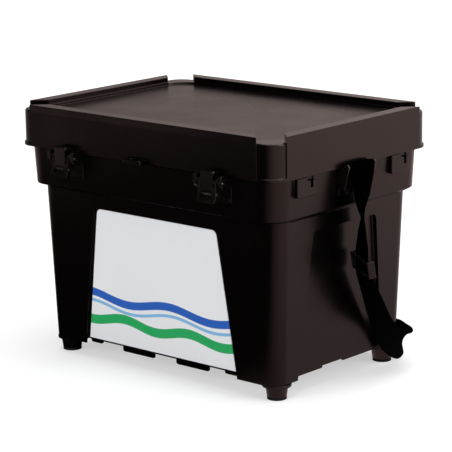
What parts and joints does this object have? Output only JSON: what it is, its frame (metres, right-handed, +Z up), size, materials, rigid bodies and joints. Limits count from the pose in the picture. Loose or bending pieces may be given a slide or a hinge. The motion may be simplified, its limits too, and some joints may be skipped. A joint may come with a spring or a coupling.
{
  "type": "fishing seat box",
  "caption": "Moulded fishing seat box: deep tub with stepped collar, hinged seat lid with raised rails, draw latches, rubber-padded feet and a wide shoulder strap.",
  "frame": {"origin": "on the floor, under the middle of the box measured over its fixed fittings, without the strap", "axes": "+Z up, -Y to the front with the latches, +X to the right seen from the front"},
  "size_m": [0.5264, 0.3905, 0.3552],
  "materials": {
    "body_plastic": "satin moulded",
    "fitting_plastic": "satin moulded",
    "label_white": "smooth printed plate",
    "pad_rubber": "matt",
    "pin_steel": "bright",
    "screw_steel": "dark plated",
    "strap_webbing": "woven",
    "slider_plastic": "semi-gloss"
  },
  "bodies": {
    "box": {"tub": "body_plastic", "front_label": "label_white", "latch_base_left": "fitting_plastic", "latch_pin_left": "pin_steel", "latch_screw_left_1": "screw_steel", "latch_screw_left_2": "screw_steel", "hinge_leaf_tub_left": "fitting_plastic", "hinge_pin_left": "pin_steel", "hinge_screw_tub_left_1": "screw_steel", "hinge_screw_tub_left_2": "screw_steel", "strap_bracket_left": "fitting_plastic", "bracket_screw_left_1": "screw_steel", "bracket_screw_left_2": "screw_steel", "latch_base_right": "fitting_plastic", "latch_pin_right": "pin_steel", "latch_screw_right_1": "screw_steel", "latch_screw_right_2": "screw_steel", "hinge_leaf_tub_right": "fitting_plastic", "hinge_pin_right": "pin_steel", "hinge_screw_tub_right_1": "screw_steel", "hinge_screw_tub_right_2": "screw_steel", "strap_bracket_right": "fitting_plastic", "bracket_screw_right_1": "screw_steel", "bracket_screw_right_2": "screw_steel", "foot_cup_front_left": "fitting_plastic", "foot_pad_front_left": "pad_rubber", "foot_screw_front_left": "screw_steel", "foot_cup_front_right": "fitting_plastic", "foot_pad_front_right": "pad_rubber", "foot_screw_front_right": "screw_steel", "foot_cup_back_left": "fitting_plastic", "foot_pad_back_left": "pad_rubber", "foot_screw_back_left": "screw_steel", "foot_cup_back_right": "fitting_plastic", "foot_pad_back_right": "pad_rubber", "foot_screw_back_right": "screw_steel", "shoulder_strap": "strap_webbing", "strap_slider": "slider_plastic"},
    "lid": {"lid": "body_plastic", "hinge_leaf_lid_left": "fitting_plastic", "hinge_screw_lid_left_1": "screw_steel", "hinge_screw_lid_left_2": "screw_steel", "hinge_leaf_lid_right": "fitting_plastic", "hinge_screw_lid_right_1": "screw_steel", "hinge_screw_lid_right_2": "screw_steel"},
    "lever_left": {"latch_lever_left": "fitting_plastic", "claw_pin_left": "pin_steel"},
    "lever_right": {"latch_lever_right": "fitting_plastic", "claw_pin_right": "pin_steel"},
    "claw_left": {"latch_claw_left": "fitting_plastic"},
    "claw_right": {"latch_claw_right": "fitting_plastic"}
  },
  "joints": [
    {"name": "lid_hinge", "type": "hinge", "parent": "box", "child": "lid", "pos_m": [0, 0.17735, 0.2925], "axis": [-1, 0, 0], "range_deg": [0, 98]},
    {"name": "latch_lever_left_swing", "type": "hinge", "parent": "box", "child": "lever_left", "pos_m": [-0.132, -0.17235, 0.2918], "axis": [-1, 0, 0], "range_deg": [0, 115]},
    {"name": "latch_claw_left_swing", "type": "hinge", "parent": "lever_left", "child": "claw_left", "pos_m": [-0.132, -0.17535, 0.2766], "axis": [-1, 0, 0], "range_deg": [-121, 0]},
    {"name": "latch_lever_right_swing", "type": "hinge", "parent": "box", "child": "lever_right", "pos_m": [0.132, -0.17235, 0.2918], "axis": [-1, 0, 0], "range_deg": [0, 115]},
    {"name": "latch_claw_right_swing", "type": "hinge", "parent": "lever_right", "child": "claw_right", "pos_m": [0.132, -0.17535, 0.2766], "axis": [-1, 0, 0], "range_deg": [-121, 0]}
  ],
  "couplings": [
    {"joint": "latch_claw_left_swing", "follows": "latch_lever_left_swing", "ratio": -1.05},
    {"joint": "latch_claw_right_swing", "follows": "latch_lever_right_swing", "ratio": -1.05}
  ]
}
